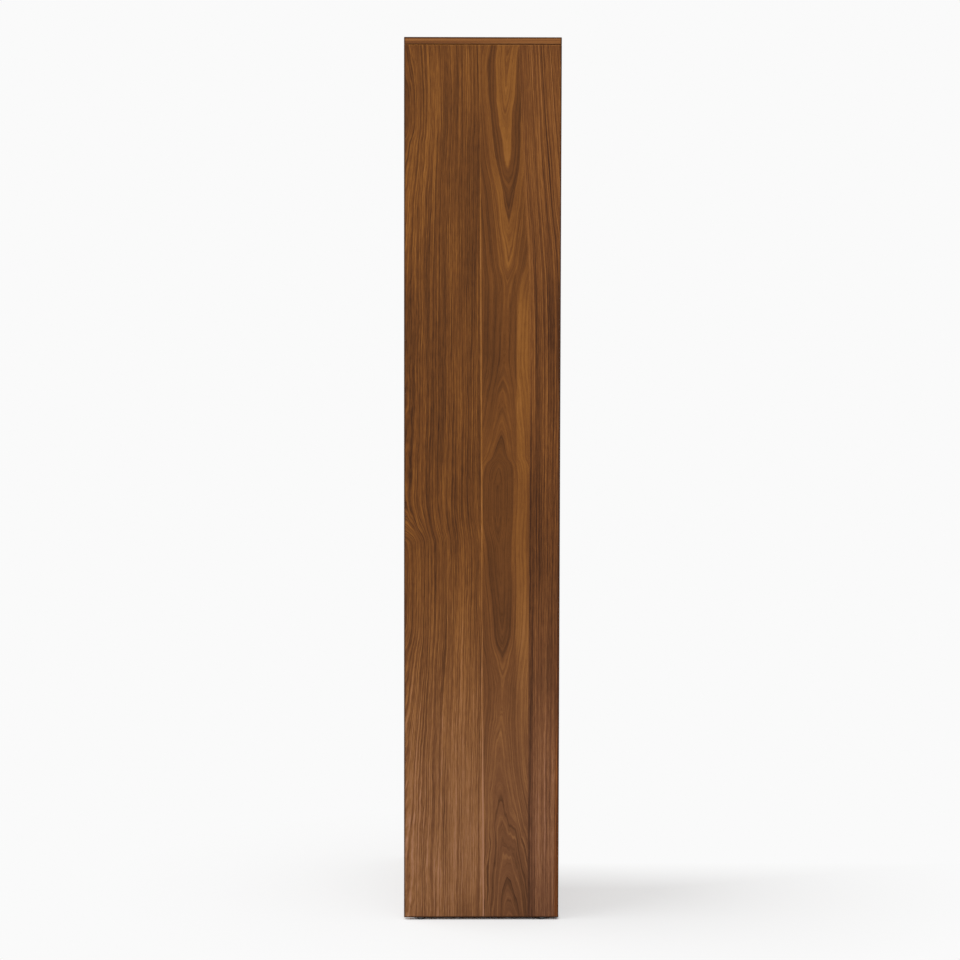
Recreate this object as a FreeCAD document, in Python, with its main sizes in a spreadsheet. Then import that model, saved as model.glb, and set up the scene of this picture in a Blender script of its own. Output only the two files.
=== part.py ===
import FreeCAD, Part
import os
import Sketcher
from FreeCAD import Placement, Rotation, Vector

# Tall bookcase: two full-height sides carry a top laid over them, a fixed bottom shelf, a fixed
# middle shelf and four loose shelves on pull-out pins. Millimetres, +Z up, the front faces -Y.
# The origin is on the floor, under the middle of the case.

SIZES = {
    # the case
    "case_width": 762,
    "case_depth": 376,
    "case_height": 2134,
    "board": 18,
    "eased_edge": 1.5,
    "joint_chamfer": 1.2,
    # the back, let into the sides and the top
    "back_board": 6,
    "rabbet_width": 10,
    "back_play": 0.5,
    # the base
    "glide_rise": 5.5,
    "glide_diameter": 16,
    "glide_inset": 40,
    "nail_diameter": 2.5,
    "nail_length": 20,
    "nail_seat": 3.5,
    "kick_rise": 60,
    "kick_setback": 20,
    # the rail that hangs the case on a wall
    "rail_rise": 80,
    "wall_hole_diameter": 5.5,
    "wall_hole_spacing": 406.4,
    # the loose shelves and their pins
    "shelf_play": 1,
    "shelf_setback": 2,
    "shelf_back_gap": 1.5,
    "hole_pitch": 32,
    "hole_inset": 50,
    "pin_diameter": 5,
    "pin_grip": 8.5,
    "pin_head_diameter": 9,
    "pin_head_length": 11,
    "pin_flat": 2.5,
    # cam connectors
    "cam_diameter": 15,
    "cam_below_bolt": 4,
    "cam_slot_length": 7.5,
    "cam_slot_width": 1.2,
    "cam_slot_depth": 2,
    "cam_reach": 24,
    "cam_inset": 60,
    "cover_diameter": 18,
    "cover_thickness": 1,
    "bolt_thread_diameter": 5,
    "bolt_thread_length": 11,
    "bolt_shank_diameter": 6,
    "bolt_neck_diameter": 4,
    "bolt_head_length": 2.5,
    # dowels
    "dowel_diameter": 8,
    "dowel_in_side": 12,
    "dowel_in_shelf": 18,
    "dowel_inset": 100,
    "rail_fixing_gap": 26,
    # screws through the back
    "screw_diameter": 3.5,
    "screw_head_diameter": 7,
    "screw_length": 25,
    "screw_row_gap": 180,
    "screw_edge_gap": 30,
    # play of a fastener in its hole, on the diameter, and left free at the hole's end
    "hole_play": 0.2,
    "bolt_way_play": 1,
    "end_play": 0.5,
}

BAYS = 6
FIXED_LEVELS = (0, 3)
LOOSE_LEVELS = (1, 2, 4, 5)
HOLES_PER_PIN = 5
SIDE_SCREWS = 7
X, Y, Z = Vector(1, 0, 0), Vector(0, 1, 0), Vector(0, 0, 1)

# Places worked out from the sheet. INNER is from the middle of the case to a side's inner face.
INNER = "(sizes.case_width / 2 - sizes.board)"
FRONT = "(-sizes.case_depth / 2)"
REAR = "(sizes.case_depth / 2)"
BACK_FACE = "(sizes.case_depth / 2 - sizes.back_board)"
TOP_UNDERSIDE = "(sizes.case_height - sizes.board)"
SIDE_RISE = f"({TOP_UNDERSIDE} - sizes.glide_rise)"
BOTTOM_UNDERSIDE = "(sizes.glide_rise + sizes.kick_rise)"
LEVEL_STEP = f"(({TOP_UNDERSIDE} - {BOTTOM_UNDERSIDE}) / {BAYS})"
CAM_ROWS = (f"({FRONT} + sizes.cam_inset)", f"({REAR} - sizes.cam_inset)")
DOWEL_ROWS = (f"({FRONT} + sizes.dowel_inset)", f"({REAR} - sizes.dowel_inset)")
PIN_ROWS = {
    "front": f"({FRONT} + sizes.hole_inset)",
    "back": f"({REAR} - sizes.hole_inset)",
}
GLIDE_ROWS = {
    "front": f"({FRONT} + sizes.glide_inset)",
    "back": f"({REAR} - sizes.glide_inset)",
}
KICK_FRONT_FACE = f"({FRONT} + sizes.kick_setback + sizes.board)"
KICK_REAR_FACE = f"({BACK_FACE} - sizes.board)"
RAIL_UNDERSIDE = f"({TOP_UNDERSIDE} - sizes.rail_rise)"
FIRST_SCREW = f"({BOTTOM_UNDERSIDE} + sizes.board + sizes.screw_edge_gap)"
LAST_SCREW = f"({RAIL_UNDERSIDE} - sizes.screw_edge_gap)"
SCREW_COLUMNS = ("(-1 * sizes.screw_row_gap)", "0", "sizes.screw_row_gap")
BOLT_BORE = "(sizes.bolt_thread_diameter + sizes.hole_play)"
BOLT_WAY = "(sizes.bolt_shank_diameter + sizes.bolt_way_play)"
CAM_BORE = "(sizes.cam_diameter + sizes.hole_play)"
CAM_DEPTH = "(sizes.board / 2 + sizes.cam_below_bolt)"
DOWEL_BORE = "(sizes.dowel_diameter + sizes.hole_play)"
SCREW_BORE = "(sizes.screw_diameter + sizes.hole_play)"
NAIL_BORE = "(sizes.nail_diameter + sizes.hole_play)"
PIN_BORE = "(sizes.pin_diameter + sizes.hole_play)"

doc = FreeCAD.newDocument("bookcase")
sheet = doc.addObject("Spreadsheet::Sheet", "sizes")
for row, (alias, number) in enumerate(SIZES.items(), start=1):
    sheet.set(f"A{row}", alias)
    sheet.set(f"B{row}", str(number))
    sheet.setAlias(f"B{row}", alias)
doc.recompute()

sub_parts = []


def underside(level):
    """The height of a shelf's underside, counted up from the bottom shelf as level 0."""
    return f"({BOTTOM_UNDERSIDE} + {level} * {LEVEL_STEP})"


def pin_height(level):
    """The height of a pin's axis: its flat is level with the shelf's underside."""
    return f"({underside(level)} - sizes.pin_flat)"


def minus(expression):
    return f"(-1 * {expression})"


def value(expression):
    return float(sheet.evalExpression(expression))


def keep(sub_part, label):
    """Marks an object as a sub-part of its own, with the name that its file gets."""
    sub_part.Label = label
    sub_parts.append(sub_part)
    return sub_part


def place(sub_part, x="0", y="0", z="0", turn=None):
    sub_part.Placement = Placement(Vector(), turn or Rotation())
    for axis, expression in zip("xyz", (x, y, z)):
        sub_part.setExpression(f"Placement.Base.{axis}", expression)


SCREW_ROWS = [f"({underside(level)} + sizes.board / 2)" for level in FIXED_LEVELS]
SCREW_ROWS += [f"({TOP_UNDERSIDE} + sizes.rabbet_width / 2)"]
UP = "sizes.rail_fixing_gap / 2"
DOWN = minus(UP)

# Sketches and features of one body


def new_body(name):
    return doc.addObject("PartDesign::Body", name)


def new_sketch(body, name, plane, offset="0"):
    """A sketch on one of the body's own planes, moved by offset along the plane's normal."""
    origin_plane = next(f for f in body.Origin.OriginFeatures if f.Role == plane)
    sketch = body.newObject("Sketcher::SketchObject", f"{body.Name}_{name}")
    sketch.AttachmentSupport = (origin_plane, [""])
    sketch.MapMode = "FlatFace"
    sketch.setExpression("AttachmentOffset.Base.z", offset)
    return sketch


def constrain(sketch, kind, expression, *places):
    number = sketch.addConstraint(Sketcher.Constraint(kind, *places, value(expression)))
    sketch.setExpression(f"Constraints[{number}]", expression)


def draw_outline(sketch, corners):
    """A closed outline of straight lines through corners, each one a pair of expressions."""
    first = sketch.GeometryCount
    count = len(corners)
    points = [Vector(value(x), value(y), 0) for x, y in corners]
    for i in range(count):
        sketch.addGeometry(Part.LineSegment(points[i], points[(i + 1) % count]), False)
    for i in range(count):
        following = first + (i + 1) % count
        sketch.addConstraint(Sketcher.Constraint("Coincident", first + i, 2, following, 1))
    for i, (x, y) in enumerate(corners):
        constrain(sketch, "DistanceX", x, -1, 1, first + i, 1)
        constrain(sketch, "DistanceY", y, -1, 1, first + i, 1)


def draw_rectangle(sketch, left, right, low, high):
    draw_outline(sketch, [(left, low), (right, low), (right, high), (left, high)])


def draw_circles(sketch, centres, diameter):
    for x, y in centres:
        centre = Vector(value(x), value(y), 0)
        circle = Part.Circle(centre, Vector(0, 0, 1), value(diameter) / 2)
        number = sketch.addGeometry(circle, False)
        constrain(sketch, "DistanceX", x, -1, 1, number, 3)
        constrain(sketch, "DistanceY", y, -1, 1, number, 3)
        constrain(sketch, "Diameter", diameter, number)


def pad(body, sketch, length, reverse=False):
    feature = body.newObject("PartDesign::Pad", f"{sketch.Name}_pad")
    feature.Profile = sketch
    feature.setExpression("Length", length)
    feature.Reversed = reverse
    doc.recompute()
    return feature


def check_cut(body, before, name):
    if body.Shape.Volume > before - 1:
        raise RuntimeError(f"{name} cuts nothing from {body.Name}")


def pocket(body, sketch, depth, reverse=False):
    before = body.Shape.Volume
    feature = body.newObject("PartDesign::Pocket", f"{sketch.Name}_pocket")
    feature.Profile = sketch
    feature.setExpression("Length", depth)
    feature.Reversed = reverse
    doc.recompute()
    check_cut(body, before, feature.Name)
    return feature


def drill(body, name, plane, centres, diameter, depth, offset="0", reverse=False):
    sketch = new_sketch(body, name, plane, offset)
    draw_circles(sketch, centres, diameter)
    return pocket(body, sketch, depth, reverse)


def repeat_up(body, feature, length, count):
    """Repeats a feature count times up the body, the last one at length above the first."""
    before = body.Shape.Volume
    pattern = body.newObject("PartDesign::LinearPattern", f"{feature.Name}_column")
    pattern.Originals = [feature]
    pattern.Direction = (feature.Profile[0], ["V_Axis"])
    pattern.setExpression("Length", length)
    pattern.Occurrences = count
    body.Tip = pattern
    doc.recompute()
    check_cut(body, before, pattern.Name)


def mirror_ends(body, features):
    """Repeats what was cut at the right end at the left end."""
    before = body.Shape.Volume
    middle = next(f for f in body.Origin.OriginFeatures if f.Role == "YZ_Plane")
    mirrored = body.newObject("PartDesign::Mirrored", f"{body.Name}_left_end")
    mirrored.Originals = features
    mirrored.MirrorPlane = (middle, [""])
    body.Tip = mirrored
    doc.recompute()
    check_cut(body, before, mirrored.Name)


def dress(body, kind, size, wanted):
    """Rounds or chamfers the edges of a plain board whose middle passes the wanted test."""
    edges = [
        f"Edge{i}"
        for i, edge in enumerate(body.Shape.Edges, start=1)
        if wanted(edge.CenterOfMass)
    ]
    base = body.Tip
    feature = body.newObject(f"PartDesign::{kind}", f"{body.Name}_{kind.lower()}")
    feature.Base = (base, edges)
    feature.setExpression("Radius" if kind == "Fillet" else "Size", size)
    doc.recompute()
    return feature


def same(a, b):
    return abs(a - b) < 0.01


# What joins the boards. A connector or dowel crosses the face at its seat, which is a point on
# the board that it is driven into, and runs along into the other board. A cam sinks into that
# other board square to the bolt.


def horizontal_seats(rows):
    return [
        (minus(INNER) if along.x > 0 else INNER, y, f"({underside(level)} + sizes.board / 2)")
        + (along, Z)
        for level in FIXED_LEVELS
        for y in rows
        for along in (X, -X)
    ]


def top_seats(rows):
    middle = "(sizes.case_width / 2 - sizes.board / 2)"
    return [
        (middle if sink.x > 0 else minus(middle), y, TOP_UNDERSIDE, -Z, sink)
        for y in rows
        for sink in (X, -X)
    ]


def upright_seats(shift):
    """Seats at the ends of the two kick boards and the rail, shifted up from mid-height."""
    boards = (
        (f"({KICK_FRONT_FACE} - sizes.board / 2)", "sizes.glide_rise", "sizes.kick_rise", -Y),
        (f"({KICK_REAR_FACE} + sizes.board / 2)", "sizes.glide_rise", "sizes.kick_rise", Y),
        (f"({BACK_FACE} - sizes.board / 2)", RAIL_UNDERSIDE, "sizes.rail_rise", -Y),
    )
    return [
        (minus(INNER) if along.x > 0 else INNER, y, f"({low} + {rise} / 2 + {shift})")
        + (along, sink)
        for y, low, rise, sink in boards
        for along in (X, -X)
    ]


CONNECTORS = horizontal_seats(CAM_ROWS) + upright_seats(DOWN) + top_seats(CAM_ROWS)
DOWELS = horizontal_seats(DOWEL_ROWS) + upright_seats(UP) + top_seats(DOWEL_ROWS)


def holes_in_side(seats):
    """Where seats lie on a side's inner face, as (Y, height above the side's lower end)."""
    return [(y, f"({z} - sizes.glide_rise)") for x, y, z, along, sink in seats if along.x > 0]


def moved(seat, along, distance, sink, drop):
    """Expressions for a point at a distance along from a seat, and at drop back out of the sink."""
    return [
        f"({point} + {way:g} * {distance} - {down:g} * {drop})"
        for point, way, down in zip(seat, along, sink)
    ]


# The boards


def side_panel(label, outward):
    """One side, from its inner face at X = 0 outwards. outward is 1 on the right, -1 on the left."""
    body = new_body(label)
    right = outward > 0
    outline = new_sketch(body, "outline", "YZ_Plane")
    draw_rectangle(outline, FRONT, REAR, "0", SIDE_RISE)
    pad(body, outline, "sizes.board", reverse=not right)
    outer, rise = outward * value("sizes.board"), value(SIDE_RISE)
    front, rear = value(FRONT), value(REAR)
    dress(
        body,
        "Fillet",
        "sizes.eased_edge",
        lambda p: same(p.z, rise / 2) and (same(p.x, outer) or same(p.y, front)),
    )
    dress(
        body,
        "Chamfer",
        "sizes.joint_chamfer",
        lambda p: same(p.x, outer) and same(p.y, (front + rear) / 2),
    )

    rabbet = new_sketch(body, "rabbet", "YZ_Plane")
    draw_rectangle(rabbet, BACK_FACE, REAR, "0", SIDE_RISE)
    pocket(body, rabbet, "sizes.rabbet_width", reverse=right)
    drill(
        body,
        "bolt_bores",
        "YZ_Plane",
        holes_in_side(horizontal_seats(CAM_ROWS) + upright_seats(DOWN)),
        BOLT_BORE,
        "sizes.bolt_thread_length + sizes.end_play",
        reverse=right,
    )
    drill(
        body,
        "dowel_bores",
        "YZ_Plane",
        holes_in_side(horizontal_seats(DOWEL_ROWS) + upright_seats(UP)),
        DOWEL_BORE,
        "sizes.dowel_in_side + sizes.end_play",
        reverse=right,
    )
    for level in LOOSE_LEVELS:
        height = f"({pin_height(level)} - {HOLES_PER_PIN // 2} * sizes.hole_pitch - sizes.glide_rise)"
        lowest = drill(
            body,
            f"pin_holes_{level}",
            "YZ_Plane",
            [(y, height) for y in PIN_ROWS.values()],
            PIN_BORE,
            "sizes.pin_grip + sizes.end_play",
            reverse=right,
        )
        repeat_up(body, lowest, f"{HOLES_PER_PIN - 1} * sizes.hole_pitch", HOLES_PER_PIN)
    side_edge_bores(body, outward)
    place(body, INNER if right else minus(INNER), "0", "sizes.glide_rise")
    return keep(body, label)


def side_edge_bores(body, outward):
    """The bores for the top's cams and dowels, the glides' nails and the screws of the back."""
    right = outward > 0
    middle = f"({outward} * sizes.board / 2)"
    cam_centres = [(y, f"({SIDE_RISE} - sizes.cam_reach)") for y in CAM_ROWS]
    drill(body, "top_cams", "YZ_Plane", cam_centres, CAM_BORE, CAM_DEPTH, reverse=right)
    drill(
        body,
        "top_bolt_ways",
        "XY_Plane",
        [(middle, y) for y in CAM_ROWS],
        BOLT_WAY,
        "sizes.cam_reach",
        offset=SIDE_RISE,
    )
    drill(
        body,
        "top_dowel_bores",
        "XY_Plane",
        [(middle, y) for y in DOWEL_ROWS],
        DOWEL_BORE,
        "sizes.dowel_in_shelf + sizes.end_play",
        offset=SIDE_RISE,
    )
    drill(
        body,
        "nail_bores",
        "XY_Plane",
        [(middle, y) for y in GLIDE_ROWS.values()],
        NAIL_BORE,
        "sizes.nail_length - sizes.nail_seat + sizes.end_play",
        reverse=True,
    )
    first = drill(
        body,
        "screw_bores",
        "XZ_Plane",
        [(f"({outward} * sizes.rabbet_width / 2)", f"({FIRST_SCREW} - sizes.glide_rise)")],
        SCREW_BORE,
        "sizes.screw_length - sizes.back_board + sizes.end_play",
        offset=minus(BACK_FACE),
        reverse=True,
    )
    repeat_up(body, first, f"{LAST_SCREW} - {FIRST_SCREW}", SIDE_SCREWS)


def rear_screw_bores(body, height):
    """Bores in a board's rear edge for the middle screws of the back."""
    drill(
        body,
        "screw_bores",
        "XZ_Plane",
        [(x, height) for x in SCREW_COLUMNS],
        SCREW_BORE,
        "sizes.screw_length - sizes.back_board + sizes.end_play",
        offset=minus(BACK_FACE),
        reverse=True,
    )


def top_panel(label):
    """The top, from its underside at Z = 0 up. It covers the sides and takes the back's upper edge."""
    body = new_body(label)
    outline = new_sketch(body, "outline", "XY_Plane")
    half = "(sizes.case_width / 2)"
    draw_rectangle(outline, minus(half), half, FRONT, REAR)
    pad(body, outline, "sizes.board")
    thick = value("sizes.board")
    dress(body, "Fillet", "sizes.eased_edge", lambda p: p.z > thick / 4)
    dress(
        body,
        "Chamfer",
        "sizes.joint_chamfer",
        lambda p: same(p.z, 0) and p.y < 1,
    )

    rabbet = new_sketch(body, "rabbet", "XY_Plane")
    reach = f"({INNER} + sizes.rabbet_width)"
    draw_rectangle(rabbet, minus(reach), reach, BACK_FACE, REAR)
    pocket(body, rabbet, "sizes.rabbet_width", reverse=True)
    middle = "(sizes.case_width / 2 - sizes.board / 2)"
    bolts = drill(
        body,
        "bolt_bores",
        "XY_Plane",
        [(middle, y) for y in CAM_ROWS],
        BOLT_BORE,
        "sizes.bolt_thread_length + sizes.end_play",
        reverse=True,
    )
    dowels = drill(
        body,
        "dowel_bores",
        "XY_Plane",
        [(middle, y) for y in DOWEL_ROWS],
        DOWEL_BORE,
        "sizes.dowel_in_side + sizes.end_play",
        reverse=True,
    )
    mirror_ends(body, [bolts, dowels])
    rear_screw_bores(body, "sizes.rabbet_width / 2")
    place(body, z=TOP_UNDERSIDE)
    return keep(body, label)


def fixed_shelf(label, level):
    """A shelf cammed and dowelled to the sides, from its underside at Z = 0 up."""
    body = new_body(label)
    outline = new_sketch(body, "outline", "XY_Plane")
    draw_rectangle(outline, minus(INNER), INNER, FRONT, BACK_FACE)
    pad(body, outline, "sizes.board")
    front = value(FRONT)
    dress(
        body,
        "Fillet",
        "sizes.eased_edge",
        lambda p: same(p.y, front) and same(p.x, 0),
    )

    mid = "(sizes.board / 2)"
    cams = drill(
        body,
        "cam_bores",
        "XY_Plane",
        [(f"({INNER} - sizes.cam_reach)", y) for y in CAM_ROWS],
        CAM_BORE,
        CAM_DEPTH,
        reverse=True,
    )
    ways = drill(
        body,
        "bolt_ways",
        "YZ_Plane",
        [(y, mid) for y in CAM_ROWS],
        BOLT_WAY,
        "sizes.cam_reach",
        offset=INNER,
    )
    dowels = drill(
        body,
        "dowel_bores",
        "YZ_Plane",
        [(y, mid) for y in DOWEL_ROWS],
        DOWEL_BORE,
        "sizes.dowel_in_shelf + sizes.end_play",
        offset=INNER,
    )
    mirror_ends(body, [cams, ways, dowels])
    rear_screw_bores(body, mid)
    place(body, z=underside(level))
    return keep(body, label)


def upright_board(label, rise):
    """A kick board or rail. The face that holds its cams is at Y = 0, and it is thick towards -Y."""
    body = new_body(label)
    outline = new_sketch(body, "outline", "XZ_Plane")
    draw_rectangle(outline, minus(INNER), INNER, "0", rise)
    pad(body, outline, "sizes.board")
    cams = drill(
        body,
        "cam_bores",
        "XZ_Plane",
        [(f"({INNER} - sizes.cam_reach)", f"({rise} / 2 - {UP})")],
        CAM_BORE,
        CAM_DEPTH,
        reverse=True,
    )
    mid = "(-1 * sizes.board / 2)"
    ways = drill(
        body,
        "bolt_ways",
        "YZ_Plane",
        [(mid, f"({rise} / 2 - {UP})")],
        BOLT_WAY,
        "sizes.cam_reach",
        offset=INNER,
    )
    dowels = drill(
        body,
        "dowel_bores",
        "YZ_Plane",
        [(mid, f"({rise} / 2 + {UP})")],
        DOWEL_BORE,
        "sizes.dowel_in_shelf + sizes.end_play",
        offset=INNER,
    )
    mirror_ends(body, [cams, ways, dowels])
    return keep(body, label)


def wall_holes(body, height, depth):
    """The pair of holes that takes the wall screws, in a board with its rear face at Y = 0 or more."""
    half = "(sizes.wall_hole_spacing / 2)"
    centres = [(minus(half), height), (half, height)]
    diameter = "sizes.wall_hole_diameter"
    offset = minus(depth)
    drill(body, "wall_holes", "XZ_Plane", centres, diameter, "2 * sizes.board", offset, True)


def kicks_and_rail():
    kick = upright_board("kick_board_front", "sizes.kick_rise")
    place(kick, "0", KICK_FRONT_FACE, "sizes.glide_rise")
    kick = upright_board("kick_board_rear", "sizes.kick_rise")
    place(kick, "0", KICK_REAR_FACE, "sizes.glide_rise", Rotation(Z, 180))
    rail = upright_board("hanging_rail", "sizes.rail_rise")
    wall_holes(rail, "sizes.rail_rise / 2", "0")
    place(rail, "0", BACK_FACE, RAIL_UNDERSIDE)


def back_panel(label):
    """The back, from its front face at Y = 0 to the rear. Z = 0 is the lower end of the sides."""
    body = new_body(label)
    outline = new_sketch(body, "outline", "XZ_Plane")
    half = f"({INNER} + sizes.rabbet_width - sizes.back_play)"
    high = f"({SIDE_RISE} + sizes.rabbet_width - sizes.back_play)"
    draw_rectangle(outline, minus(half), half, "sizes.back_play", high)
    pad(body, outline, "sizes.back_board", reverse=True)
    wall_holes(body, f"({SIDE_RISE} - sizes.rail_rise / 2)", "sizes.back_board")
    column = f"({INNER} + sizes.rabbet_width / 2)"
    low = f"({FIRST_SCREW} - sizes.glide_rise)"
    sides = countersink(body, "side_screws", [(minus(column), low), (column, low)])
    repeat_up(body, sides, f"{LAST_SCREW} - {FIRST_SCREW}", SIDE_SCREWS)
    rows = [f"({z} - sizes.glide_rise)" for z in SCREW_ROWS]
    countersink(body, "row_screws", [(x, z) for z in rows for x in SCREW_COLUMNS])
    place(body, "0", BACK_FACE, "sizes.glide_rise")
    return keep(body, label)


def countersink(body, name, centres):
    """Countersunk holes in the rear face of the back."""
    sketch = new_sketch(body, name, "XZ_Plane", minus("sizes.back_board"))
    draw_circles(sketch, centres, SCREW_BORE)
    doc.recompute()
    before = body.Shape.Volume
    hole = body.newObject("PartDesign::Hole", f"{body.Name}_{name}_hole")
    hole.Profile = sketch
    doc.recompute()
    hole.Reversed = True
    hole.Threaded = False
    hole.DepthType = "Dimension"
    hole.DrillPoint = "Flat"
    hole.setExpression("Depth", "sizes.back_board")
    hole.setExpression("Diameter", SCREW_BORE)
    hole.HoleCutType = "Countersink"
    hole.HoleCutCustomValues = True
    hole.HoleCutCountersinkAngle = 90
    hole.setExpression("HoleCutDiameter", "sizes.screw_head_diameter + sizes.hole_play")
    doc.recompute()
    check_cut(body, before, hole.Name)
    return hole


def loose_shelf(label, level):
    """A shelf that rests on its pins, from its underside at Z = 0 up."""
    body = new_body(label)
    outline = new_sketch(body, "outline", "XY_Plane")
    half = f"({INNER} - sizes.shelf_play)"
    front = f"({FRONT} + sizes.shelf_setback)"
    rear = f"({BACK_FACE} - sizes.shelf_back_gap)"
    draw_rectangle(outline, minus(half), half, front, rear)
    pad(body, outline, "sizes.board")
    edge = value(front)
    dress(
        body,
        "Fillet",
        "sizes.eased_edge",
        lambda p: same(p.y, edge) and same(p.x, 0),
    )
    place(body, z=underside(level))
    return keep(body, label)


# The hardware


def primitive(kind, name, turn=None, base=("0", "0", "0"), **sizes):
    """A Part primitive with each of its sizes bound to an expression."""
    solid = doc.addObject(kind, name)
    place(solid, *base, turn=turn)
    for size, expression in sizes.items():
        solid.setExpression(size, expression)
    return solid


def shelf_pin(label):
    """A pin along X: its stem fills a hole in the side, and its half-round head holds the shelf."""
    along = Rotation(Y, 90)
    stem = primitive(
        "Part::Cylinder",
        f"{label}_stem",
        turn=along,
        base=("-1 * sizes.pin_grip", "0", "0"),
        Radius="sizes.pin_diameter / 2",
        Height="sizes.pin_grip + sizes.pin_head_length / 2",
    )
    round_head = primitive(
        "Part::Cylinder",
        f"{label}_round",
        turn=along,
        Radius="sizes.pin_head_diameter / 2",
        Height="sizes.pin_head_length",
    )
    above = primitive(
        "Part::Box",
        f"{label}_above",
        base=("-1", "-1 * sizes.pin_head_diameter", "sizes.pin_flat"),
        Length="sizes.pin_head_length + 2",
        Width="2 * sizes.pin_head_diameter",
        Height="sizes.pin_head_diameter",
    )
    head = doc.addObject("Part::Cut", f"{label}_head")
    head.Base = round_head
    head.Tool = above
    pin = doc.addObject("Part::Fuse", label)
    pin.Base = stem
    pin.Tool = head
    return keep(pin, label)


def shelf_pins(number, level):
    for row, y in PIN_ROWS.items():
        left = shelf_pin(f"shelf_{number}_pin_{row}_left")
        place(left, minus(INNER), y, pin_height(level))
        right = shelf_pin(f"shelf_{number}_pin_{row}_right")
        place(right, INNER, y, pin_height(level), Rotation(Z, 180))


def turned(name, outline):
    """A solid turned about X from an outline of (X, radius) corners."""
    body = new_body(name)
    sketch = new_sketch(body, "outline", "XY_Plane")
    draw_outline(sketch, outline)
    turning = body.newObject("PartDesign::Revolution", f"{name}_turned")
    turning.Profile = sketch
    turning.ReferenceAxis = (sketch, ["H_Axis"])
    turning.Angle = 360
    doc.recompute()
    return body


def cam_bolt():
    """Threaded into a side at X < 0, with its head in the cam."""
    thread = "sizes.bolt_thread_diameter / 2"
    shank = "sizes.bolt_shank_diameter / 2"
    neck = "sizes.bolt_neck_diameter / 2"
    head_end = "sizes.cam_reach + sizes.bolt_head_length / 2"
    head_start = "sizes.cam_reach - sizes.bolt_head_length / 2"
    shank_end = f"{head_start} - sizes.bolt_head_length"
    start = "-1 * sizes.bolt_thread_length"
    corners = [(start, "0"), (start, thread), ("0", thread), ("0", shank), (shank_end, shank)]
    corners += [(shank_end, neck), (head_start, neck), (head_start, shank), (head_end, shank)]
    corners += [(head_end, "0")]
    return turned("cam_bolt", corners)


def dowel():
    ease = "sizes.eased_edge"
    radius = "sizes.dowel_diameter / 2"
    start, end = "-1 * sizes.dowel_in_side", "sizes.dowel_in_shelf"
    corners = [(start, "0"), (start, f"{radius} - {ease}"), (f"{start} + {ease}", radius)]
    corners += [(f"{end} - {ease}", radius), (end, f"{radius} - {ease}"), (end, "0")]
    return turned("dowel", corners)


def back_screw():
    """Its head's face is at X = 0, and it is driven towards +X."""
    head = "sizes.screw_head_diameter / 2"
    shank = "sizes.screw_diameter / 2"
    tip = "sizes.screw_length"
    corners = [("0", "0"), ("0", head), (f"{head} - {shank}", shank), (f"{tip} - {shank}", shank)]
    corners += [(tip, "0")]
    return turned("back_screw", corners)


def glide_nail():
    """Its lower end is at X = 0, seated in the glide, and it is driven up towards +X."""
    radius = "sizes.nail_diameter / 2"
    tip = "sizes.nail_length"
    corners = [("0", "0"), ("0", radius), (f"{tip} - {radius}", radius), (tip, "0")]
    return turned("glide_nail", corners)


def glide(label):
    """A foot with its top at X = 0, standing towards +X, and the seat of its nail in the top."""
    bore = f"{NAIL_BORE} / 2"
    radius = "sizes.glide_diameter / 2"
    edge = f"{radius} - sizes.eased_edge"
    rise = "sizes.glide_rise"
    corners = [("0", bore), ("0", radius), (f"{rise} - sizes.eased_edge", radius), (rise, edge)]
    corners += [(rise, "0"), ("sizes.nail_seat", "0"), ("sizes.nail_seat", bore)]
    return keep(turned(label, corners), label)


def cam():
    """A cam with its face just under Z = 0 and its depth towards +Z. The bolt comes in from +X."""
    drum = primitive(
        "Part::Cylinder",
        "cam_drum",
        base=("0", "0", "sizes.end_play"),
        Radius="sizes.cam_diameter / 2",
        Height=f"{CAM_DEPTH} - sizes.end_play",
    )
    window = primitive(
        "Part::Cylinder",
        "cam_window",
        turn=Rotation(Y, 90),
        base=("-1 * sizes.bolt_head_length", "0", "sizes.board / 2"),
        Radius=f"{BOLT_WAY} / 2",
        Height="sizes.cam_diameter",
    )
    cutters = [window]
    long, wide = "sizes.cam_slot_length", "sizes.cam_slot_width"
    for number, (along_x, along_y) in enumerate(((long, wide), (wide, long))):
        slot = primitive(
            "Part::Box",
            f"cam_slot_{number}",
            base=(f"-1 * {along_x} / 2", f"-1 * {along_y} / 2", "0"),
            Length=along_x,
            Width=along_y,
            Height="sizes.cam_slot_depth + sizes.end_play",
        )
        cutters.append(slot)
    tools = doc.addObject("Part::MultiFuse", "cam_cutters")
    tools.Shapes = cutters
    body = doc.addObject("Part::Cut", "cam")
    body.Base = drum
    body.Tool = tools
    return body


def cam_cover():
    return primitive(
        "Part::Cylinder",
        "cam_cover",
        base=("0", "0", "-1 * sizes.cover_thickness"),
        Radius="sizes.cover_diameter / 2",
        Height="sizes.cover_thickness",
    )


def group(label, model, places):
    """Equal pieces in one sub-part: a link to the model at each (expressions, turn)."""
    links = []
    for number, (base, turn) in enumerate(places, start=1):
        link = doc.addObject("App::Link", f"{label}_{number}")
        link.LinkedObject = model
        link.LinkTransform = True
        place(link, *base, turn=turn)
        links.append(link)
    compound = doc.addObject("Part::Compound", label)
    compound.Links = links
    return keep(compound, label)


def turned_to(x_axis, z_axis):
    return Rotation(x_axis, z_axis.cross(x_axis), z_axis, "ZXY")


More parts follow.
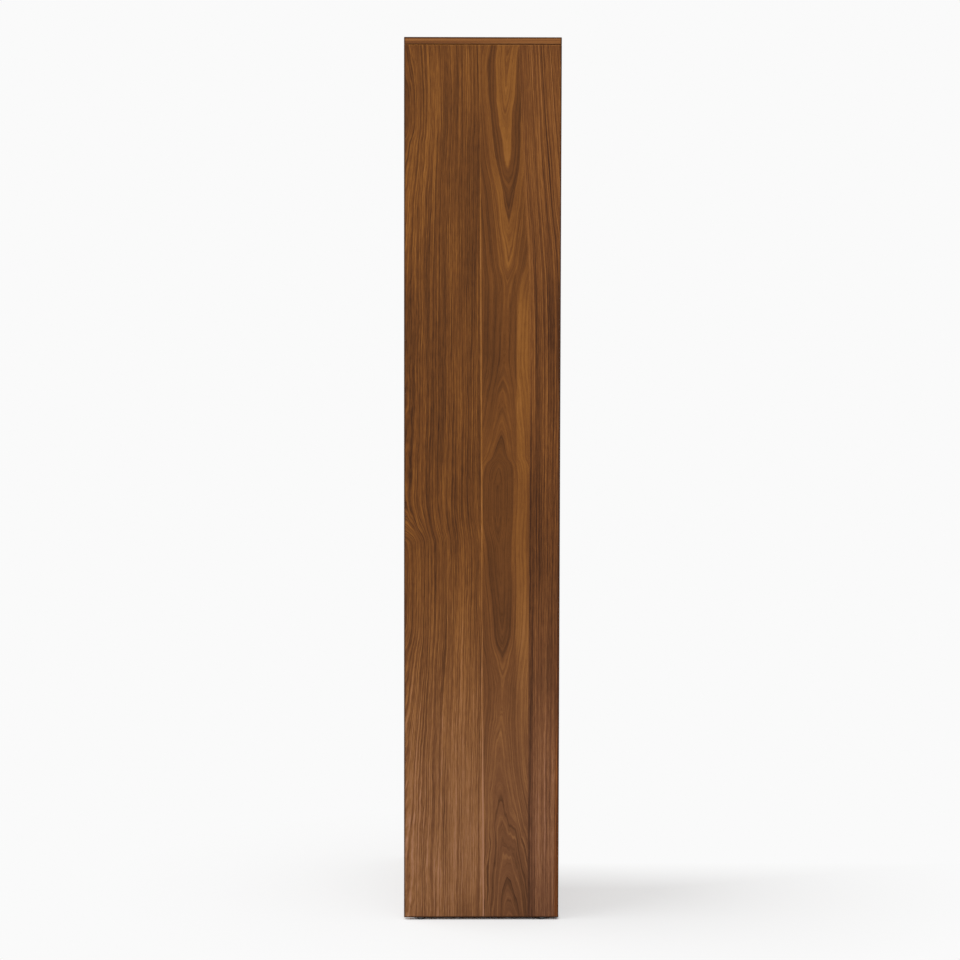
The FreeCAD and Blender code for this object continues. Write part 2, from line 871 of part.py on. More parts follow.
def connector_groups():
    bolts, cams, covers = [], [], []
    for *seat, along, sink in CONNECTORS:
        turn = turned_to(-along, sink)
        mouth = moved(seat, along, "sizes.cam_reach", sink, "sizes.board / 2")
        bolts.append((seat, turned_to(along, sink)))
        cams.append((mouth, turn))
        if seat[2] != f"({underside(0)} + sizes.board / 2)" and not sink.y:
            covers.append((mouth, turn))
    group("cam_bolts", cam_bolt(), bolts)
    group("cam_locks", cam(), cams)
    group("cam_covers", cam_cover(), covers)
    group("dowels", dowel(), [(seat, turned_to(along, sink)) for *seat, along, sink in DOWELS])


def back_screws():
    column = f"({INNER} + sizes.rabbet_width / 2)"
    step = f"(({LAST_SCREW} - {FIRST_SCREW}) / {SIDE_SCREWS - 1})"
    heights = [f"({FIRST_SCREW} + {i} * {step})" for i in range(SIDE_SCREWS)]
    spots = [(x, z) for x in (minus(column), column) for z in heights]
    spots += [(x, z) for x in SCREW_COLUMNS for z in SCREW_ROWS]
    forward = turned_to(-Y, Z)
    group("back_screws", back_screw(), [((x, REAR, z), forward) for x, z in spots])


def feet():
    middle = "(sizes.case_width / 2 - sizes.board / 2)"
    spots = {
        f"{row}_{hand}": (x, y)
        for row, y in GLIDE_ROWS.items()
        for hand, x in (("left", minus(middle)), ("right", middle))
    }
    for name, (x, y) in spots.items():
        place(glide(f"glide_{name}"), x, y, "sizes.glide_rise", turned_to(-Z, X))
    nail_base = "(sizes.glide_rise - sizes.nail_seat)"
    nails = [((x, y, nail_base), turned_to(Z, X)) for x, y in spots.values()]
    group("glide_nails", glide_nail(), nails)


def check_and_write():
    doc.recompute()
    for thing in doc.Objects:
        if {"Invalid", "Error"} & set(thing.State):
            raise RuntimeError(f"{thing.Name} failed: {thing.State}")
    for sub_part in sub_parts:
        if sub_part.Shape.isNull() or not sub_part.Shape.isValid():
            raise RuntimeError(f"{sub_part.Label} has no valid shape")
    os.makedirs("parts", exist_ok=True)
    for sub_part in sub_parts:
        sub_part.Shape.exportStep(f"parts/{sub_part.Label}.step")


side_panel("side_left", -1)
side_panel("side_right", 1)
top_panel("top_panel")
fixed_shelf("bottom_shelf", 0)
fixed_shelf("middle_shelf", 3)
kicks_and_rail()
back_panel("back_panel")
for shelf_number, shelf_level in enumerate(LOOSE_LEVELS, start=1):
    loose_shelf(f"adjustable_shelf_{shelf_number}", shelf_level)
    shelf_pins(shelf_number, shelf_level)
connector_groups()
back_screws()
feet()
check_and_write()
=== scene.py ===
import math

import bpy
from mathutils import Matrix, Vector


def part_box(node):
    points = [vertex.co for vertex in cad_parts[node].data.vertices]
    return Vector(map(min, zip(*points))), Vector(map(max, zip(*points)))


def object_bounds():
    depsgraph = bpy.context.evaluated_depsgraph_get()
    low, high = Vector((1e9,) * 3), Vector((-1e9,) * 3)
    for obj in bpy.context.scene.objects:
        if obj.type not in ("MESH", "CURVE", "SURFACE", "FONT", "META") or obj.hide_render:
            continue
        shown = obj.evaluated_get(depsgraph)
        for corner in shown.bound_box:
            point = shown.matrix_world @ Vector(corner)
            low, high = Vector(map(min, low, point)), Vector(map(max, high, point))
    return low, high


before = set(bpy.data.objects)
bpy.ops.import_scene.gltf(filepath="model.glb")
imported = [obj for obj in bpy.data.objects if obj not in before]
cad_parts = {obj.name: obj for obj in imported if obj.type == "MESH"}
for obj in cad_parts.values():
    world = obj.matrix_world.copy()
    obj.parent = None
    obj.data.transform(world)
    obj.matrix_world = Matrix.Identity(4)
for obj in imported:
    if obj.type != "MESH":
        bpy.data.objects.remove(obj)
cadLow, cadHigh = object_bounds()
caseHeight = cadHigh[2]
outerFace = cadHigh[0]
print("frame loaded:", len(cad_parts), "pieces")


# helpers for node trees

def addNode(tree, kind, inputs=None, **settings):
    node = tree.nodes.new(kind)
    for name, value in settings.items():
        setattr(node, name, value)
    for name, value in (inputs or {}).items():
        feed(tree, node.inputs[name], value)
    return node


def feed(tree, socket, value):
    if isinstance(value, bpy.types.NodeSocket):
        tree.links.new(value, socket)
    else:
        socket.default_value = value


def calc(tree, operation, *values):
    return addNode(tree, "ShaderNodeMath", dict(enumerate(values)), operation=operation).outputs[0]


def calcVector(tree, operation, *values):
    return addNode(tree, "ShaderNodeVectorMath", dict(enumerate(values)), operation=operation).outputs[0]


def split(tree, vector):
    return addNode(tree, "ShaderNodeSeparateXYZ", {0: vector}).outputs


def join(tree, x=0.0, y=0.0, z=0.0):
    return addNode(tree, "ShaderNodeCombineXYZ", {0: x, 1: y, 2: z}).outputs[0]


def objectPlace(tree):
    return addNode(tree, "ShaderNodeTexCoord").outputs["Object"]


def fit(tree, value, low, high, toLow=0.0, toHigh=1.0, soft=False):
    kind = "SMOOTHSTEP" if soft else "LINEAR"
    inputs = {0: value, 1: low, 2: high, 3: toLow, 4: toHigh}
    return addNode(tree, "ShaderNodeMapRange", inputs, interpolation_type=kind).outputs[0]


def mixColor(tree, amount, first, second, blend="MIX"):
    node = addNode(tree, "ShaderNodeMix", data_type="RGBA", blend_type=blend)
    for place, value in ((0, amount), (6, first), (7, second)):
        feed(tree, node.inputs[place], value)
    return node.outputs[2]


def mixValue(tree, amount, first, second):
    inputs = {0: amount, 2: first, 3: second}
    return addNode(tree, "ShaderNodeMix", inputs, data_type="FLOAT").outputs[0]


def curve(tree, value, points):
    # a smooth line through (place, height) points, with the heights in their own units
    low = min(height for _, height in points)
    reach = max(height for _, height in points) - low
    points = [(place, (height - low) / reach) for place, height in points]
    node = addNode(tree, "ShaderNodeFloatCurve", {"Value": value})
    line = node.mapping.curves[0]
    line.points[0].location, line.points[1].location = points[0], points[-1]
    for point in points[1:-1]:
        line.points.new(*point)
    for point in line.points:
        point.handle_type = "AUTO_CLAMPED"
    node.mapping.update()
    return calc(tree, "MULTIPLY_ADD", node.outputs[0], reach, low)


def ramp(tree, value, stops):
    node = addNode(tree, "ShaderNodeValToRGB", {"Fac": value})
    band = node.color_ramp
    band.interpolation = "LINEAR"
    band.elements[0].position, band.elements[1].position = stops[0][0], stops[-1][0]
    for place, _ in stops[1:-1]:
        band.elements.new(place)
    for element, (_, shade) in zip(band.elements, stops):
        element.color = paint(shade) if isinstance(shade, str) else (shade, shade, shade, 1.0)
    return node.outputs[0]


def paint(code):
    def linear(part):
        part = int(part, 16) / 255
        return part / 12.92 if part <= 0.04045 else ((part + 0.055) / 1.055) ** 2.4
    return (linear(code[0:2]), linear(code[2:4]), linear(code[4:6]), 1.0)


def noise(tree, vector, scale, detail=2.0, rough=0.5):
    inputs = {"Vector": vector, "Scale": scale, "Detail": detail, "Roughness": rough}
    return addNode(tree, "ShaderNodeTexNoise", inputs).outputs["Fac"]


def noiseLine(tree, value, scale, detail=2.0, rough=0.5):
    inputs = {"W": value, "Scale": scale, "Detail": detail, "Roughness": rough}
    return addNode(tree, "ShaderNodeTexNoise", inputs, noise_dimensions="1D").outputs["Fac"]


def stretch(tree, vector, factors):
    return calcVector(tree, "MULTIPLY", vector, factors)


def pressIn(tree, shader, height, distance, strength):
    bump = addNode(tree, "ShaderNodeBump", {"Height": height, "Distance": distance, "Strength": strength})
    feed(tree, shader.inputs["Normal"], bump.outputs[0])


def newGroup(name, inputs, outputs):
    group = bpy.data.node_groups.new(name, "ShaderNodeTree")
    for label, kind, value in inputs:
        socket = group.interface.new_socket(name=label, in_out="INPUT", socket_type="NodeSocket" + kind)
        if value is not None:
            socket.default_value = value
    for label, kind in outputs:
        group.interface.new_socket(name=label, in_out="OUTPUT", socket_type="NodeSocket" + kind)
    return group, group.nodes.new("NodeGroupInput").outputs, group.nodes.new("NodeGroupOutput").inputs


def useGroup(tree, group, inputs):
    node = addNode(tree, "ShaderNodeGroup", node_tree=group)
    for name, value in inputs.items():
        feed(tree, node.inputs[name], value)
    return node.outputs


# wood: x runs along the grain, y across the board and z into it, in metres

def makeFibreGroup():
    group, given, result = newGroup(
        "walnutFibre",
        [("Place", "Vector", None), ("Seed", "Float", 0.0)],
        [("Coarse", "Float"), ("Middle", "Float"), ("Fine", "Float"), ("Pores", "Float")])
    seed = given["Seed"]
    place = calcVector(group, "ADD", given["Place"], join(group, seed, seed, seed))
    sway = noise(group, stretch(group, place, (5, 9, 9)), 1.0, 1.0)
    sway = calc(group, "MULTIPLY", calc(group, "SUBTRACT", sway, 0.5), 0.006)
    place = calcVector(group, "ADD", place, join(group, y=sway))
    coarse = noise(group, stretch(group, place, (1.1, 95, 95)), 1.0, 1.0)
    middle = noise(group, stretch(group, place, (2.3, 540, 540)), 1.0, 1.0)
    fine = noise(group, stretch(group, place, (36, 720, 720)), 1.0, 2.0, 0.6)
    pores = noise(group, stretch(group, place, (70, 1900, 1900)), 1.0, 1.0)
    feed(group, result["Coarse"], fit(group, coarse, 0.28, 0.72, soft=True))
    feed(group, result["Middle"], fit(group, middle, 0.28, 0.72, soft=True))
    feed(group, result["Fine"], fit(group, fine, 0.3, 0.7))
    feed(group, result["Pores"], fit(group, pores, 0.6, 0.72, soft=True))
    return group


def makeRingGroup():
    # growth rings met by the face of a board: Across is the way from the heart line, Depth the way
    # down to it; Point 2 gives round arches, and towards 1 their tips are pointed
    group, given, result = newGroup(
        "growthRings",
        [("Place", "Vector", None), ("Across", "Float", 0.0), ("Depth", "Float", 0.0),
         ("Point", "Float", 2.0), ("Spacing", "Float", 0.006), ("Wobble", "Float", 1.0)],
        [("Field", "Float"), ("Line", "Float")])
    wide = noise(group, stretch(group, given["Place"], (5, 34, 34)), 1.0, 2.0)
    tight = noise(group, stretch(group, given["Place"], (24, 90, 90)), 1.0, 2.0)
    warp = calc(group, "MULTIPLY", calc(group, "SUBTRACT", wide, 0.5), 0.018)
    warp = calc(group, "MULTIPLY_ADD", calc(group, "SUBTRACT", tight, 0.5), 0.004, warp)
    warp = calc(group, "MULTIPLY", warp, given["Wobble"])
    point = given["Point"]
    away = calc(group, "POWER", calc(group, "ABSOLUTE", given["Across"]), point)
    down = calc(group, "POWER", calc(group, "ABSOLUTE", given["Depth"]), point)
    away = calc(group, "POWER", calc(group, "ADD", away, down), calc(group, "DIVIDE", 1.0, point))
    field = calc(group, "ADD", away, warp)
    count = calc(group, "DIVIDE", field, given["Spacing"])
    uneven = noiseLine(group, count, 0.45, 1.0)
    count = calc(group, "MULTIPLY_ADD", uneven, 1.6, count)
    season = calc(group, "FRACT", count)
    late = calc(group, "POWER", season, 3.0)
    reset = fit(group, season, 0.93, 1.0, 1.0, 0.0, soft=True)
    year = fit(group, noiseLine(group, count, 0.9, 1.0), 0.3, 0.7, soft=True)
    late = calc(group, "MULTIPLY", calc(group, "MULTIPLY", late, reset), year)
    line = calc(group, "MULTIPLY_ADD", late, 0.8, calc(group, "MULTIPLY", year, 0.3))
    feed(group, result["Field"], field)
    feed(group, result["Line"], line)
    return group


def makeArrisGroup():
    # masks the last millimetres of a board next to its edges, for painted shade along the arrises
    group, given, result = newGroup(
        "arrisShade",
        [("Place", "Vector", None), ("Low", "Vector", None), ("High", "Vector", None),
         ("Width", "Float", 0.003)],
        [("Mask", "Float")])
    fromLow = calcVector(group, "SUBTRACT", given["Place"], given["Low"])
    toHigh = calcVector(group, "SUBTRACT", given["High"], given["Place"])
    x, y, z = split(group, calcVector(group, "MINIMUM", fromLow, toHigh))
    # the middle one of the three ways leads to the nearest edge, as the smallest is the face itself
    smaller = calc(group, "MINIMUM", x, y)
    larger = calc(group, "MAXIMUM", x, y)
    middle = calc(group, "MAXIMUM", smaller, calc(group, "MINIMUM", larger, z))
    widthNoise = noise(group, stretch(group, given["Place"], (60, 60, 60)), 1.0, 2.0)
    reach = calc(group, "MULTIPLY", given["Width"], fit(group, widthNoise, 0.3, 0.7, 0.9, 1.1))
    share = calc(group, "DIVIDE", middle, reach)
    feed(group, result["Mask"], fit(group, share, 0.35, 1.0, 1.0, 0.0, soft=True))
    return group


fibreGroup, ringGroup, arrisGroup = makeFibreGroup(), makeRingGroup(), makeArrisGroup()

walnut = {
    "light": "a06a35",
    "honey": "87541f",
    "middle": "6d3f16",
    "deep": "552f0d",
    "dark": "3a1c05",
    "specular": 0.12,
    "roughness": 0.46,
    "porePress": 0.00012,
    "arrisWidth": 0.0045,
    "arrisShade": 0.9,
}


def boardSpace(tree, grainAxis, acrossAxis):
    place = objectPlace(tree)
    parts = split(tree, place)
    names = "XYZ"
    along, across = names.index(grainAxis), names.index(acrossAxis)
    into = 3 - along - across
    turned = join(tree, parts[along], parts[across], parts[into])
    return place, turned, parts[along], parts[across], parts[into]


def finishWalnut(tree, node, tone, fibre, tint, place, openTop=False):
    # one palette, lacquer and pore bump for every board: tone 0 is light and 1 is dark
    low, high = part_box(node)
    if openTop:      # its top edge lies in the joint under the top panel
        high.z += 0.05
    mask = useGroup(tree, arrisGroup, {
        "Place": place, "Low": tuple(low), "High": tuple(high), "Width": walnut["arrisWidth"]})["Mask"]
    color = ramp(tree, tone, [
        (0.0, walnut["light"]), (0.3, walnut["honey"]), (0.52, walnut["middle"]),
        (0.76, walnut["deep"]), (1.0, walnut["dark"])])
    color = mixColor(tree, 1.0, color, tint, "MULTIPLY")
    # painted shade along the arrises: the board's edges are mixed towards dark walnut
    mask = calc(tree, "MULTIPLY", mask, walnut["arrisShade"])
    color = mixColor(tree, mask, color, paint(walnut["dark"]))
    shader = tree.nodes["Principled BSDF"]
    feed(tree, shader.inputs["Base Color"], color)
    rough = calc(tree, "MULTIPLY_ADD", fibre["Pores"], 0.2, walnut["roughness"])
    rough = calc(tree, "MULTIPLY_ADD", fibre["Fine"], 0.06, rough)
    feed(tree, shader.inputs["Roughness"], rough)
    shader.inputs["Specular IOR Level"].default_value = walnut["specular"]
    height = calc(tree, "SUBTRACT", calc(tree, "MULTIPLY", fibre["Fine"], 0.3), fibre["Pores"])
    pressIn(tree, shader, height, walnut["porePress"], 0.6)


def newMaterial(name):
    material = bpy.data.materials.new(name)
    material.use_nodes = True
    return material, material.node_tree


def dress(node, material):
    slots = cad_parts[node].data.materials
    for place in range(len(slots)):
        slots[place] = material


# the two sides: three hand picked boards each, matched as a pair

sideBoards = {
    "seam": 0.0,               # between the front board and the middle one, at half height
    "seamLean": -0.0066,
    "backLine": 0.1125,        # where the back board starts
    "backLean": [(0.0, 0.0), (0.6, 0.001), (0.7, 0.0), (0.82, -0.01), (1.0, -0.028)],
    "backFan": 12.0,           # how much more its lines lean towards the rear edge
    "frontRings": (0.0085, 0.45),      # spacing and wobble
    "heartRings": 0.0058,
    "backRings": (0.0068, 0.35),
    "backHeart": 0.3,          # how far in front of the middle the back board's heart line lies
    "frontHeart": 0.196,       # the front board's heart line runs just outside the case
    "frontDepth": [(0.0, 0.06), (0.13, 0.055), (0.3, 0.03), (0.4, 0.004), (0.43, 0.01),
                   (0.49, 0.055), (0.62, 0.05), (0.8, 0.045), (0.88, 0.035), (0.92, 0.024),
                   (0.955, 0.03), (1.0, 0.04)],
    "heartDepth": [(0.0, 0.004), (0.015, 0.012), (0.045, 0.022), (0.075, 0.032), (0.105, 0.042),
                   (0.136, 0.048), (0.198, 0.052), (0.249, 0.056), (0.295, 0.05), (0.329, 0.0396),
                   (0.363, 0.0355), (0.425, 0.0308), (0.476, 0.0234), (0.51, 0.0256), (0.53, 0.0411),
                   (0.558, 0.05), (0.6, 0.06), (0.66, 0.068), (0.7, 0.068), (0.75, 0.058),
                   (0.794, 0.05), (0.831, 0.0428), (0.867, 0.0308), (0.906, 0.0256), (0.951, 0.0157),
                   (1.0, 0.01)],
    "heartLine": [(0.0, 0.071), (0.08, 0.064), (0.198, 0.044), (0.295, 0.05), (0.42, 0.043),
                  (0.48, 0.038), (0.558, 0.047), (0.7, 0.056), (0.794, 0.063), (0.95, 0.054),
                  (1.0, 0.066)],
    "innerHoney": (0.78, 0.82),
    "heartBands": [(0.0, 0.3), (0.2, 0.35), (0.3, 0.55), (0.6, 0.6), (0.75, 1.0), (1.0, 1.0)],
    "heartPoint": [(0.0, 2.0), (0.1, 1.9), (0.2, 1.4), (0.3, 1.35), (1.0, 1.35)],
    "heartLines": [(0.0, 0.62), (0.07, 0.56), (0.12, 0.3), (0.2, 0.12), (0.35, 0.06), (0.5, 0.05),
                   (0.6, 0.14), (0.8, 0.28), (1.0, 0.4)],
    "heartWobble": [(0.0, 1.1), (0.1, 1.0), (0.16, 0.6), (0.22, 0.42), (0.8, 0.42), (0.88, 0.75),
                    (1.0, 0.9)],
    "heartTone": [(0.0, 0.16), (0.2, 0.18), (0.33, 0.14), (0.42, 0.06), (0.5, 0.03), (0.6, 0.06),
                  (0.75, 0.06), (1.0, 0.03)],
    "backTone": [(0.0, 0.12), (0.2, 0.16), (0.35, 0.08), (0.5, -0.06), (0.75, -0.12), (1.0, -0.18)],
    "backShade": 0.2,          # a darker streak along the joint low on the back board
    "seamGlow": [(0.0, 1.1), (0.13, 1.0), (0.25, 0.35), (0.38, 0.5), (0.45, 0.85), (0.75, 0.85),
                 (0.85, 0.4), (1.0, 0.3)],
    "stripeFrom": 0.083,
    "stripeHeights": (0.20, 0.36, 0.68, 0.78),
    "floorReflectionTint": (1.0, 1.17, 2.6, 1.0),          # the boards are paler and pinker towards the floor, as painted reflection of the pale floor
    "tone": [(0.0, -0.14), (0.12, -0.2), (0.3, -0.05), (0.5, 0.08), (0.8, 0.03), (0.93, -0.01),
             (1.0, 0.07)],
}


def makeSide(node, name, mirrored, seed):
    # the mirrored side takes its boards the other way up, with its own noise
    s = sideBoards
    material, tree = newMaterial(name)
    place, turned, along, across, into = boardSpace(tree, "Z", "Y")
    height = calc(tree, "DIVIDE", along, caseHeight)
    level = height
    if mirrored:
        level = calc(tree, "SUBTRACT", 1.0, level)
        turned = stretch(tree, turned, (-1, 1, 1))
    lean = calc(tree, "MULTIPLY", calc(tree, "SUBTRACT", across, s["backLine"] - 0.026), s["backFan"])
    lean = calc(tree, "MULTIPLY", calc(tree, "ADD", calc(tree, "MAXIMUM", lean, 0.0), 1.0),
                curve(tree, level, s["backLean"]))
    backSide = calc(tree, "SUBTRACT", across, lean)
    seam = calc(tree, "MULTIPLY_ADD", level, s["seamLean"] * 2, s["seam"] - s["seamLean"])
    pastSeam = calc(tree, "SUBTRACT", across, seam)

    spacing, wobble = s["frontRings"]
    front = useGroup(tree, ringGroup, {
        "Place": turned, "Across": calc(tree, "ADD", across, s["frontHeart"]),
        "Depth": curve(tree, level, s["frontDepth"]), "Spacing": spacing, "Wobble": wobble})
    heart = useGroup(tree, ringGroup, {
        "Place": turned, "Across": calc(tree, "SUBTRACT", across, curve(tree, level, s["heartLine"])),
        "Depth": curve(tree, level, s["heartDepth"]), "Spacing": s["heartRings"],
        "Point": curve(tree, level, s["heartPoint"]), "Wobble": curve(tree, level, s["heartWobble"])})
    spacing, wobble = s["backRings"]
    back = useGroup(tree, ringGroup, {
        "Place": turned, "Across": calc(tree, "ADD", backSide, s["backHeart"]),
        "Spacing": spacing, "Wobble": wobble})

    # the grain streaks run with the rings, so they are laid out in ring space
    isHeart = fit(tree, pastSeam, -0.0004, 0.0004)
    isBack = fit(tree, calc(tree, "SUBTRACT", backSide, s["backLine"]), -0.001, 0.001)
    field = mixValue(tree, isHeart, front["Field"], heart["Field"])
    field = mixValue(tree, isBack, field, back["Field"])
    fibre = useGroup(tree, fibreGroup, {"Place": join(tree, along, field, into), "Seed": seed})

    # the middle board: honey outside, a dark band with a crisp outer line, honey again round the heart
    inner = fit(tree, level, *s["innerHoney"], soft=True)
    outside = ramp(tree, calc(tree, "MULTIPLY", heart["Field"], 10.0), [
        (0.0, 0.85), (0.1, 0.62), (0.3, 0.56), (0.44, 0.64), (0.49, 0.78), (0.51, 0.38), (0.56, 0.32),
        (0.64, 0.44), (0.72, 0.54), (1.0, 0.56)])
    inside = ramp(tree, calc(tree, "MULTIPLY", heart["Field"], 20.0), [
        (0.0, 0.7), (0.25, 0.5), (0.4, 0.38), (0.6, 0.3), (0.65, 0.36), (0.69, 0.56), (0.9, 0.62),
        (0.975, 0.74), (1.0, 0.76)])
    within = fit(tree, heart["Field"], 0.0492, 0.0505, 1.0, 0.0)
    bands = mixValue(tree, calc(tree, "MULTIPLY", inner, within), outside, inside)
    bands = calc(tree, "SUBTRACT", bands, 0.54)
    bands = calc(tree, "MULTIPLY_ADD", bands, curve(tree, level, s["heartBands"]), 0.52)
    heartTone = calc(tree, "MULTIPLY_ADD", heart["Line"], curve(tree, level, s["heartLines"]),
                     calc(tree, "SUBTRACT", bands, 0.06))
    heartTone = calc(tree, "ADD", heartTone, curve(tree, level, s["heartTone"]))
    frontTone = calc(tree, "MULTIPLY_ADD", front["Line"], 0.18, 0.49)
    backTone = calc(tree, "MULTIPLY_ADD", back["Line"], fit(tree, level, 0.3, 0.5, 0.36, 0.56), 0.5)
    backTone = calc(tree, "ADD", backTone, curve(tree, level, s["backTone"]))
    shade = fit(tree, backSide, s["backLine"] + 0.006, s["backLine"] + 0.02, s["backShade"], -0.04,
                soft=True)
    lowShare = fit(tree, level, 0.3, 0.5, 1.0, 0.0, soft=True)
    backTone = calc(tree, "MULTIPLY_ADD", shade, lowShare, backTone)

    stripe = fit(tree, backSide, s["stripeFrom"] - 0.004, s["stripeFrom"] + 0.001, soft=True)
    starts, full, fades, ends = s["stripeHeights"]
    reach = calc(tree, "MULTIPLY", fit(tree, level, starts, full, soft=True),
                 fit(tree, level, fades, ends, 1.0, 0.0, soft=True))
    stripeTone = fit(tree, fibre["Coarse"], 0.0, 1.0, 0.3, 0.44)
    heartTone = mixValue(tree, calc(tree, "MULTIPLY", stripe, reach), heartTone, stripeTone)

    tone = mixValue(tree, isHeart, frontTone, heartTone)
    tone = mixValue(tree, isBack, tone, backTone)
    streak = calc(tree, "MULTIPLY", fibre["Middle"], 0.4)
    streak = calc(tree, "MULTIPLY_ADD", fibre["Coarse"], 0.1, streak)
    streak = calc(tree, "MULTIPLY_ADD", fibre["Fine"], 0.28, streak)
    streak = calc(tree, "SUBTRACT", streak, 0.38)
    calm = mixValue(tree, isHeart, 1.0, mixValue(tree, isBack, 0.42, 1.0))
    tone = calc(tree, "MULTIPLY_ADD", streak, calm, tone)
    tone = calc(tree, "MULTIPLY_ADD", fibre["Pores"], 0.12, tone)

    seamGlow = calc(tree, "ABSOLUTE", calc(tree, "ADD", pastSeam, 0.0012))
    seamGlow = fit(tree, seamGlow, 0.0006, 0.0026, 1.0, 0.0, soft=True)
    seamGlow = calc(tree, "MULTIPLY", seamGlow, curve(tree, level, s["seamGlow"]))
    tone = calc(tree, "MULTIPLY_ADD", seamGlow, -0.55, tone)

    cloud = noise(tree, stretch(tree, turned, (3.0, 14, 14)), 1.0, 2.0)
    tone = calc(tree, "ADD", tone, fit(tree, cloud, 0.3, 0.7, -0.1, 0.1))
    # darker in the middle and lighter low down; the lighter low part is painted reflection of the pale
    # floor
    tone = calc(tree, "ADD", tone, curve(tree, height, s["tone"]))
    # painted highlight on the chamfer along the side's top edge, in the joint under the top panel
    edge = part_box(node)[1].z
    chamferHighlight = fit(tree, along, edge - 0.0016, edge - 0.001, soft=True)
    tone = calc(tree, "MULTIPLY_ADD", chamferHighlight, -0.5, tone)
    lowPart = fit(tree, height, 0.05, 0.5, 1.0, 0.0, soft=True)
    # painted reflection of the pale floor: the boards turn paler and pinker low down
    tint = mixColor(tree, lowPart, (1, 1, 1, 1), s["floorReflectionTint"])
    backTint = mixColor(tree, 1.0, tint, (0.98, 0.97, 1.15, 1), "MULTIPLY")
    # painted glow along the rear edge of the back board, low down
    rearGlow = calc(tree, "MULTIPLY", fit(tree, across, 0.176, 0.182, soft=True), lowPart)
    backTint = mixColor(tree, rearGlow, backTint, (1.12, 0.98, 1.12, 1))
    tint = mixColor(tree, isBack, tint, backTint)
    finishWalnut(tree, node, tone, fibre, tint, place, openTop=True)
    dress(node, material)


makeSide("side_right", "walnutSideRight", False, 0.0)
makeSide("side_left", "walnutSideLeft", False, 7.3)
print("sides dressed")


# every other board: boards of one width glued edge to edge, each with its own heart line

def makeBoard(node, grainAxis, acrossAxis, settings):
    material, tree = newMaterial("walnut" + "".join(word.capitalize() for word in node.split("_")))
    place, turned, along, across, into = boardSpace(tree, grainAxis, acrossAxis)
    seed = settings["seed"]
    width = settings["boardWidth"]
    row = calc(tree, "ADD", calc(tree, "DIVIDE", across, width), 20.31 + seed)
    number = calc(tree, "FLOOR", row)
    inRow = calc(tree, "FRACT", row)
    throw = {"W": calc(tree, "ADD", number, seed)}
    dice = addNode(tree, "ShaderNodeTexWhiteNoise", throw, noise_dimensions="1D").outputs["Color"]
    dice = addNode(tree, "ShaderNodeSeparateColor", {0: dice}).outputs
    heartAt = calc(tree, "MULTIPLY_ADD", dice[0], 2.8, -0.9)
    fromHeart = calc(tree, "MULTIPLY", calc(tree, "SUBTRACT", inRow, heartAt), width)
    travel = calc(tree, "MULTIPLY_ADD", dice[1], 7.0, calc(tree, "MULTIPLY", along, settings["swell"]))
    depth = fit(tree, noiseLine(tree, travel, 1.0, 0.0), 0.25, 0.75, 0.012, 0.13)
    rings = useGroup(tree, ringGroup, {
        "Place": turned, "Across": fromHeart, "Depth": depth, "Point": 1.5,
        "Spacing": settings["spacing"], "Wobble": settings.get("wobble", 0.34)})
    fibrePlace = join(tree, calc(tree, "MULTIPLY_ADD", number, 1.7, along), rings["Field"], into)
    fibre = useGroup(tree, fibreGroup, {"Place": fibrePlace, "Seed": seed})
    bands = noiseLine(tree, calc(tree, "MULTIPLY_ADD", dice[2], 3.0, rings["Field"]), 38.0, 1.0)
    bands = fit(tree, bands, 0.3, 0.7, 0.34, 0.58, soft=True)
    tone = calc(tree, "MULTIPLY_ADD", rings["Line"], 0.18, bands)
    streak = calc(tree, "MULTIPLY", fibre["Middle"], 0.36)
    streak = calc(tree, "MULTIPLY_ADD", fibre["Coarse"], 0.12, streak)
    streak = calc(tree, "MULTIPLY_ADD", fibre["Fine"], 0.38, streak)
    tone = calc(tree, "ADD", tone, calc(tree, "SUBTRACT", streak, 0.42))
    tone = calc(tree, "MULTIPLY_ADD", fibre["Pores"], 0.12, tone)
    tone = calc(tree, "ADD", tone, fit(tree, dice[1], 0.0, 1.0, -0.1, 0.1))
    joint = fit(tree, calc(tree, "PINGPONG", row, 0.5), 0.0, 0.012, 0.1, 0.0)
    tone = calc(tree, "ADD", calc(tree, "ADD", tone, joint), settings["shade"])
    tint = mixColor(tree, dice[2], (1.03, 1.0, 0.96, 1), (0.97, 1.0, 1.1, 1))
    if settings.get("banded"):      # its ends have an edge band, with a straight grain of its own
        facing = split(tree, addNode(tree, "ShaderNodeNewGeometry").outputs["Normal"])["X"]
        isBand = fit(tree, calc(tree, "ABSOLUTE", facing), 0.6, 0.8)
        x, y, z = split(tree, place)
        bandFibre = useGroup(tree, fibreGroup, {"Place": join(tree, y, z, x), "Seed": seed + 3.0})
        bandTone = calc(tree, "MULTIPLY", bandFibre["Coarse"], 0.2)
        bandTone = calc(tree, "MULTIPLY_ADD", bandFibre["Middle"], 0.3, bandTone)
        tone = mixValue(tree, isBand, tone, calc(tree, "ADD", bandTone, 0.08))
        tint = mixColor(tree, isBand, tint, (1.0, 1.02, 1.5, 1.0))
    finishWalnut(tree, node, tone, fibre, tint, place)
    dress(node, material)


